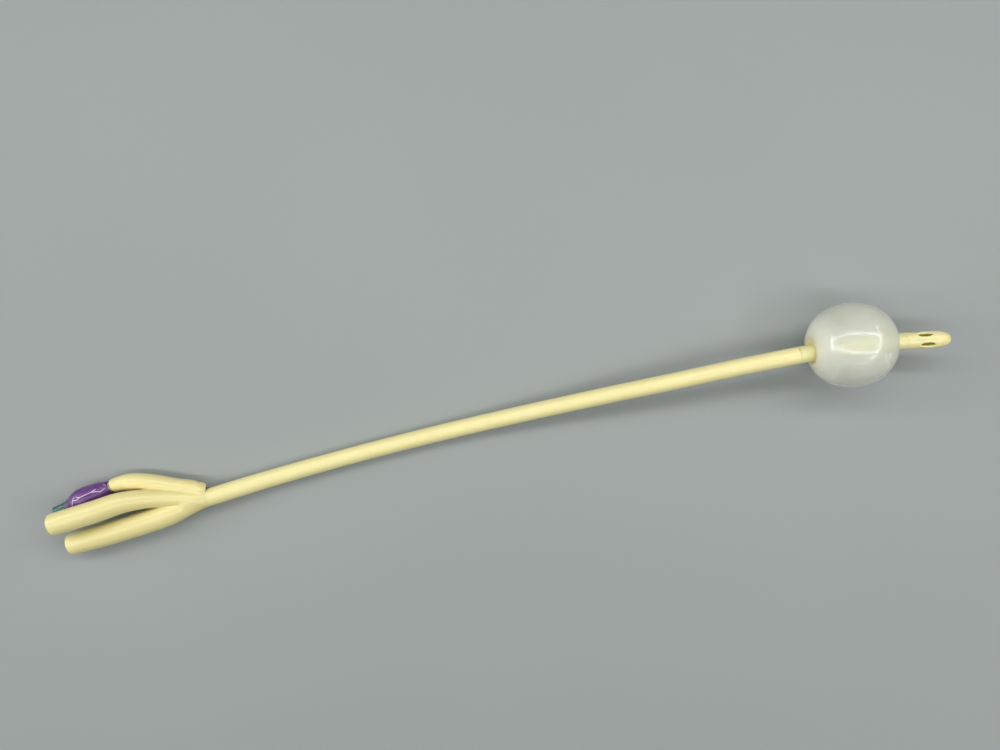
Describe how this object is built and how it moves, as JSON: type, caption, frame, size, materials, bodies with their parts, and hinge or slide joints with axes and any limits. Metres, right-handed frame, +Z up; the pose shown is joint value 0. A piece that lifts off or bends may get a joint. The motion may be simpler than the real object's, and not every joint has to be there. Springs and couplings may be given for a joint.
{
  "type": "urinary balloon catheter",
  "caption": "Latex urinary catheter with a long curved tube, a water-filled balloon and an eyed tip at one end, and drainage, irrigation and valved inflation arms at the hub.",
  "frame": {"origin": "on the table, under the middle of the object", "axes": "+X runs along the tube from the hub to the tip, +Y is to its left as seen from above, +Z is up from the table"},
  "size_m": [0.3961, 0.036, 0.0359],
  "materials": {
    "latex": "smooth satin natural latex with a light silicone coat",
    "balloon_film": "thin stretched latex film, glossy and translucent",
    "sterile_water": "clear water",
    "violet_film": "glossy wrinkled violet film",
    "teal_plastic": "glossy moulded plastic",
    "white_plastic": "plain moulded plastic",
    "seal_rubber": "plain moulded rubber",
    "spring_steel": "drawn stainless wire"
  },
  "bodies": {
    "catheter": {"shaft": "latex", "tip": "latex", "funnel_hub": "latex", "balloon": "balloon_film", "balloon_water": "sterile_water", "valve_sleeve": "violet_film", "valve_housing": "teal_plastic", "valve_base": "white_plastic", "valve_spring": "spring_steel"},
    "plunger": {"valve_plunger": "white_plastic", "valve_seal": "seal_rubber"}
  },
  "joints": [
    {"name": "plunger_slide", "type": "slide", "parent": "catheter", "child": "plunger", "axis": [0.9781, 0.208, 0], "range_m": [0, 0.0015], "stiffness_N_per_m": 300, "springref_m": -0.002, "deforming": ["valve_spring"]}
  ]
}
